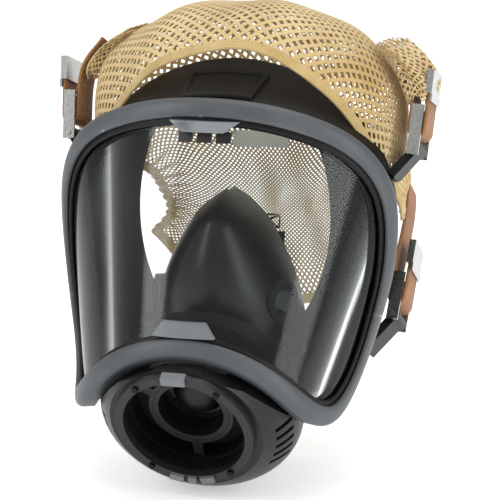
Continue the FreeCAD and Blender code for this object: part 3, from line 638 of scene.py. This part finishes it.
faceBlank()
browPanel()
print("face piece made")


# nose cup

cup = {"levels": [(14.0, 8.0, -33.0), (-5.0, 22.0, -41.5), (-30.0, 33.0, -47.0), (-55.0, 39.0, -43.5),
                  (-68.0, 38.0, -37.0)], "back": -2.0, "wall": 2.0, "round": 0.0}


def noseCup():
    # level by level half an ellipse, its width and depth from cubics through the levels, drawn in
    # to a rounded top
    level = np.array(cup["levels"])
    z = np.linspace(level[-1, 0], level[0, 0], 60)
    order = np.argsort(level[:, 0])
    fit = np.polyfit(level[order, 0], level[order, 1], 3)
    wide = np.polyval(fit, z)
    fit = np.polyfit(level[order, 0], level[order, 2], 3)
    front = np.polyval(fit, z)
    t = np.radians(np.linspace(-90, 90, 61))
    shells = []
    for inset in (0.0, cup["wall"]):
        close = np.sqrt(1 - np.clip((z - cup["round"]) / (z[-1] - cup["round"]), 0, 0.995)**2)
        w = ((wide - inset) * close)[:, None]
        d = ((cup["back"] - front - inset) * (0.25 + 0.75 * close))[:, None]
        x = w * np.sin(t)
        y = cup["back"] - d * np.cos(t)
        shells.append(np.stack([x, y, z[:, None] + 0 * x], -1))
    sections = np.concatenate([shells[0], shells[1][:, ::-1]], 1)
    piece = outward(sweep("nose_cup", sections, cupSilicone, sharp=60))
    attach(piece, "mask")
    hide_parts("nosecup")


noseCup()
print("nose cup made")


# head net: a cap of knitted mesh

net = {"wide": 84.0, "deep": 65.0, "centreY": 33.0, "brow": 18.0, "top": 104.0, "fullness": 3.0,
       "low": -72.0, "lowShare": 0.92, "hub": (0.0, 57.0, -10.0), "frontEdge": (-14.0, 82.0),
       "rearEdge": (93.0, -71.0), "sideReach": 74.0, "pitch": 3.4, "hole": 0.30, "thread": 0.7,
       "edgeDrop": 0.70, "flatReach": 96.0}


def shellReach(direction):
    # how far from the hub each direction meets the net's smooth form, by halving an interval
    hub = np.array(net["hub"])
    near = np.zeros(direction.shape[:-1])
    far = near + 200.0
    for _ in range(26):
        mid = (near + far) / 2
        p = hub + direction * mid[..., None]
        z = p[..., 2]
        share = 1 - (1 - net["lowShare"]) * np.clip((net["brow"] - z) / (net["brow"] - net["low"]), 0, 2)
        up = np.clip((z - net["brow"]) / (net["top"] - net["brow"]), 0, 0.9999)
        share = np.where(z > net["brow"], (1 - up**net["fullness"])**(1 / net["fullness"]), share)
        value = (p[..., 0] / net["wide"] / share)**2
        value = value + ((p[..., 1] - net["centreY"]) / net["deep"] / share)**2
        inside = (value < 1) & (z < net["top"])
        near = np.where(inside, mid, near)
        far = np.where(inside, far, mid)
    return near


def netAngles():
    # the brow and nape edges as angles about the hub, seen from the side
    hub = net["hub"]
    start = math.atan2(net["frontEdge"][1] - hub[2], net["frontEdge"][0] - hub[1])
    end = math.atan2(net["rearEdge"][1] - hub[2], net["rearEdge"][0] - hub[1])
    return start, end


def netSurface(across, along):
    # across runs from -1 to 1 between the ears, along from 0 at the brow to 1 at the nape; the
    # smooth form gets slack folds, deeper near the edges, and gathers towards the ears
    start, end = netAngles()
    start = start + net["edgeDrop"] * across**2
    th = np.radians(net["sideReach"]) * across
    ps = start + (end - start) * along
    d = np.stack([np.sin(th), np.cos(th) * np.cos(ps), np.cos(th) * np.sin(ps)], -1)
    reach = shellReach(d)
    slack = (1.6 * np.sin(5.2 * along * math.pi + 2.2 * across + 0.6 * np.sin(7 * across))
             + 1.1 * np.sin(9.0 * across + 5.0 * along + 1.3)
             + 0.8 * np.sin(17.0 * across - 11.0 * along))
    gather = 0.9 * np.sin(34 * along * math.pi) * smoothStep(0.72, 1.0, np.abs(across))
    ruffle = 2.2 * np.sin(9 * across + 0.7) + 1.5 * np.sin(21 * across)
    crown = np.exp(-((along - 0.16) / 0.12)**2) * ruffle
    return np.array(net["hub"]) + d * (reach - 2.8 + 0.8 * slack + gather + 0.6 * crown)[..., None]


def lattice(name, surface, wide, long):
    # a square lattice set at 45 degrees; each cell is four corners with a smaller diamond hole
    step = net["pitch"] / math.sqrt(2)
    n = int((long + wide) / step) + 4
    i, j = np.meshgrid(np.arange(-n, n), np.arange(-n, n), indexing="ij")
    across = (i - j) * step / wide * 2
    along = (i + j + 1) * step / long
    keep = (np.abs(across) < 1) & (along > 0) & (along < 1)
    i, j = i[keep], j[keep]
    square = np.stack([np.stack([i + a, j + b], -1) for a, b in ((0, 0), (1, 0), (1, 1), (0, 1))], 1)
    knots, index = np.unique(square.reshape(-1, 2), axis=0, return_inverse=True)
    index = index.reshape(-1, 4)
    h = 0.5 - net["hole"]
    inner = square + np.array([[h, h], [-h, h], [-h, -h], [h, -h]])[None]
    points = np.concatenate([knots, inner.reshape(-1, 2)])
    u = (points[:, 0] - points[:, 1]) * step / wide * 2
    v = (points[:, 0] + points[:, 1]) * step / long
    verts = surface(np.clip(u, -1, 1), np.clip(v, 0, 1))
    hole = len(knots) + np.arange(len(index) * 4).reshape(-1, 4)
    faces = [np.stack([index[:, k], index[:, (k + 1) % 4], hole[:, (k + 1) % 4], hole[:, k]], 1)
             for k in range(4)]
    piece = makePiece(name, verts, np.concatenate(faces).tolist(), meshAramid, sharp=180)
    thick = piece.modifiers.new("yarn", "SOLIDIFY")
    thick.thickness = net["thread"] * perMetre
    thick.offset = 0.0
    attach(piece, "mask")
    # the flat cloth's area leaves out the holes
    area = len(index) * net["pitch"]**2 * (1 - (2 * net["hole"])**2) * perMetre**2
    print(name, "cells", len(index))
    return piece, area


def headNet():
    start, end = netAngles()
    long = net["flatReach"] * abs(end - start)
    wide = net["flatReach"] * 2 * math.radians(net["sideReach"])
    piece, area = lattice("net_mesh", netSurface, wide, long)
    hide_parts("head_net")


flap = {"flatWidth": 78.0,
        "low": {"left": (90.0, 25.0, 58.0), "right": (82.0, 28.0, 64.0)},
        "high": {"left": (72.0, 36.0, 85.0), "right": (62.0, 38.0, 88.0)},
        "thick": {"left": 7.5, "right": 3.5}, "width": 15.0, "long": 40.0}


def strapFlap(side):
    # the net's corner folded round the end of the upper strap: a flattened tube that widens
    # upwards and is creased lengthwise
    flip = np.array([-1 if side == "right" else 1, 1, 1])
    low, high, thick = (np.array(flap[k][side]) for k in ("low", "high", "thick"))

    def place(u, v):
        t = u * math.pi
        middle = low + (high - low) * v[:, None] + np.array([5.0, 0, 0]) * (v * (1 - v) * 4)[:, None]
        crease = 1 + 0.10 * np.sin(5 * t + 3 * v) + 0.06 * np.sin(9 * t - 7 * v)
        x = np.cos(t) * thick * crease * (0.75 + 0.45 * np.sin(v * math.pi))
        y = np.sin(t) * flap["width"] * crease * (0.85 + 0.4 * v)
        z = 2.5 * np.sin(3 * t) * (1 - v)
        return (middle + np.stack([x, y, z], -1)) * flip
    piece, area = lattice("net_flap_" + side, place, flap["flatWidth"], flap["long"])


def netHem(name, u, v, side):
    # the cloth's edge turned over once along a line on the net; side says which way it lies
    path = netSurface(u, v)
    inner = netSurface(u + side[0] * 0.02, v + side[1] * 0.02)
    along = unit(np.gradient(path, axis=0))
    across = unit(inner - path)
    up = unit(np.cross(along, across))
    profile = roundCorners([(-1.2, -0.8), (4.2, -0.7), (4.2, 0.7), (-1.2, 0.8)], 0.6, 3)
    ripple = 1 + 0.12 * np.sin(np.linspace(0, 90, len(path)))[:, None, None]
    sections = (path[:, None] + across[:, None] * profile[None, :, :1]
                + up[:, None] * profile[None, :, 1:] * ripple)
    run = np.concatenate([[0], np.cumsum(np.linalg.norm(np.diff(path, axis=0), axis=1))]) * perMetre
    uv = np.stack(np.broadcast_arrays(run[:, None], profile[None, :, 0] * perMetre), -1)
    piece = outward(sweep(name, sections, hemAramid, sharp=60, uv=uv))
    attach(piece, "mask")


def netHems():
    t = np.linspace(-1, 1, 260)
    half = np.linspace(0.0, 1, 200)
    netHem("net_hem_brow", t, 0 * t, (0, 1))
    netHem("net_hem_nape", t, 0 * t + 1, (0, -1))
    netHem("net_hem_left", 0 * half + 1, half, (-1, 0))
    netHem("net_hem_right", 0 * half - 1, half, (1, 0))


stitch = {"middle": (-8.0, -22.0), "size": (14.0, 7.0), "thread": 0.55}


def innerRear(x, z):
    # the smooth inside of the net at the back of the head, at a place across and up
    share = 1 - (1 - net["lowShare"]) * (net["brow"] - z) / (net["brow"] - net["low"])
    depth = net["deep"] * share * np.sqrt(1 - (x / net["wide"] / share)**2)
    return np.stack([x + 0 * depth, net["centreY"] + depth - 4.2, z + 0 * depth], -1)


def crossStitch():
    # a box with two diagonals, sewn in one run of black thread
    wide, high = np.array(stitch["size"]) / 2
    turns = [(-1, -1), (1, -1), (1, 1), (-1, 1), (-1, -1), (1, 1), (1, -1), (-1, 1)]
    line = np.concatenate([np.linspace(a, b, 9)[:-1] for a, b in zip(turns, turns[1:])])
    place = innerRear(stitch["middle"][0] + line[:, 0] * wide, stitch["middle"][1] + line[:, 1] * high)
    turn = np.radians(np.arange(0, 360, 60))
    ring = np.stack([np.cos(turn), 0 * turn, np.sin(turn)], -1) * stitch["thread"]
    ring[:, 1] = -0.5 * np.cos(turn)
    piece = outward(sweep("rear_stitch", place[:, None] + ring[None], blackThread))
    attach(piece, "mask")


headNet()
netHems()
crossStitch()
print("net made")


# straps and buckles

corners = {"upper": {"pin": (90, 17, 33), "strap": (0.06, 0.28, 0.95), "end": (78, 34, 80)},
           "lower": {"pin": (80, 21, -55), "strap": (0.05, 0.5, 0.86), "end": (79, 58, 6)}}
strap = {"width": 21.0, "wall": 1.8, "roller": 10.0, "rollerRadius": 2.6, "gap": 0.3,
         "tailEnd": 32.0, "legEnd": 18.0, "runStart": 17.0, "lead": 22.0, "pull": 0.3, "bow": 3.0,
         "blended": 0.8}


def cornerFrame(level):
    # the pin's place, and directions outwards, along the pin and along the strap
    along = unit(np.array(corners[level]["strap"], float))
    outwardAxis = np.array([1.0, 0, 0])
    outwardAxis = unit(outwardAxis - along * outwardAxis.dot(along))
    return np.array(corners[level]["pin"], float), outwardAxis, np.cross(along, outwardAxis), along


def webbing(name, path, widthAxis, mirror):
    # a flat band: a rounded slab section carried along a path, its width along one axis
    path = np.asarray(path, float)
    along = unit(np.gradient(path, axis=0))
    axis = unit(widthAxis - along * (along @ widthAxis)[:, None])
    up = np.cross(along, axis)
    wall, width = strap["wall"], strap["width"]
    slab = roundCorners([(-width / 2, -wall / 2), (width / 2, -wall / 2), (width / 2, wall / 2),
                         (-width / 2, wall / 2)], wall * 0.45, 3)
    sections = path[:, None] + axis[:, None] * slab[None, :, :1] + up[:, None] * slab[None, :, 1:]
    run = np.concatenate([[0], np.cumsum(np.linalg.norm(np.diff(path, axis=0), axis=1))]) * perMetre
    uv = np.stack(np.broadcast_arrays(run[:, None], slab[None, :, 0] * perMetre), -1)
    if mirror:
        sections = sections * np.array([-1, 1, 1])
    return outward(sweep(name, sections, strapAramid, sharp=50, uv=uv))


def bezier(a, b, c, d, count):
    # cubic curve from a to d that leaves towards b and arrives from c
    t = np.linspace(0, 1, count)[:, None]
    return (1 - t)**3 * a + 3 * t * (1 - t)**2 * b + 3 * t**2 * (1 - t) * c + t**3 * d


def strapPieces(level, side):
    # a leg, half a circle round the roller and a tail, and the run from the buckle to the net
    pin, x, y, z = cornerFrame(level)
    name = level + "_" + side
    mirror = side == "right"
    r = strap["rollerRadius"] + strap["gap"] + strap["wall"] / 2
    turn = np.linspace(math.pi, 2 * math.pi, 24)
    bend = np.stack([r * np.cos(turn), strap["roller"] + r * np.sin(turn)], 1)
    near = np.stack([np.full(8, -r), np.linspace(strap["legEnd"], strap["roller"], 9)[:-1]], 1)
    tail = np.stack([np.full(12, r), np.linspace(strap["roller"], strap["tailEnd"], 13)[1:]], 1)
    local = np.concatenate([near, bend, tail])
    path = pin + local[:, :1] * x + local[:, 1:] * z
    loop = webbing("strap_turn_" + name, path, y, mirror)
    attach(loop, "buckle_" + name)
    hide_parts("strap_loop_" + name)
    # the run leaves the buckle along its leg and bows out a little before it reaches the net
    a = pin - r * x + strap["runStart"] * z
    d = np.array(corners[level]["end"], float)
    b = a + z * strap["lead"]
    c = d - (d - a) * strap["pull"] + np.array([strap["bow"], 0, 0])
    run = webbing("strap_run_" + name, bezier(a, b, c, d, 50), y, mirror)
    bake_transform(run)
    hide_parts("strap_" + name)


for level in corners:
    for side in ("left", "right"):
        strapPieces(level, side)
for side in ("left", "right"):
    strapFlap(side)
print("straps made")


# exhalation valve's spring

coil = {"top": -40.04, "length": 6.0, "turns": 4.5, "radius": 3.6, "wire": 0.35, "axisW": -31.0,
        "travel": 2.0}


def valveSpring():
    # a round wire along a helix, its ends wound close
    t = np.linspace(0, 1, 220)
    turn = t * coil["turns"] * 2 * math.pi
    room = coil["length"] - 2 * coil["wire"]
    v = coil["top"] - coil["wire"] - room * (t - 0.05 * np.sin(4 * math.pi * t))
    path = inPort(coil["radius"] * np.cos(turn), v, coil["axisW"] + coil["radius"] * np.sin(turn))
    along = unit(np.gradient(path, axis=0))
    across = unit(np.cross(along, portV))
    up = np.cross(along, across)
    ring = np.linspace(0, 2 * math.pi, 11)[:-1]
    sections = path[:, None] + coil["wire"] * (np.cos(ring)[None, :, None] * across[:, None]
                                               + np.sin(ring)[None, :, None] * up[:, None])
    piece = outward(sweep("valve_spring", sections, platedSteel, sharp=60))
    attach(piece, "mask")
    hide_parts("exhalation_spring")
    foot = inPort(np.array(0.0), coil["top"] - coil["length"], coil["axisW"]) * perMetre
    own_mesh(piece)


valveSpring()


# finishes of the CAD pieces that are shown as they are

finishes = {
    "brow_tab": ringNylon, "chin_tab": keyNylon, "port_key": keyNylon, "latch_keeper": keyNylon,
    "ring_screws": platedSteel, "ring_nuts": platedSteel, "housing_screws": blackSteel,
    "buckle_pins": platedSteel, "exhalation_spring": platedSteel, "speaking_diaphragm": platedSteel,
    "strap_lugs": sealRubber, "inlet_seal": sealRubber, "inhalation_valve": valveSilicone,
    "exhalation_disc": valveSilicone, "nosecup_disc_left": valveSilicone,
    "nosecup_disc_right": valveSilicone, "net_label": labelCloth, "net_patch": hookTape}
for name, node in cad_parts.items():
    finish = finishes.get(name, housingNylon)
    if name.startswith(("buckle_frame", "buckle_roller", "strap_tab")):
        finish = pressedSteel
    if node.material_slots:
        for s in node.material_slots:
            s.material = finish
    else:
        node.data.materials.append(finish)
print("finishes set")
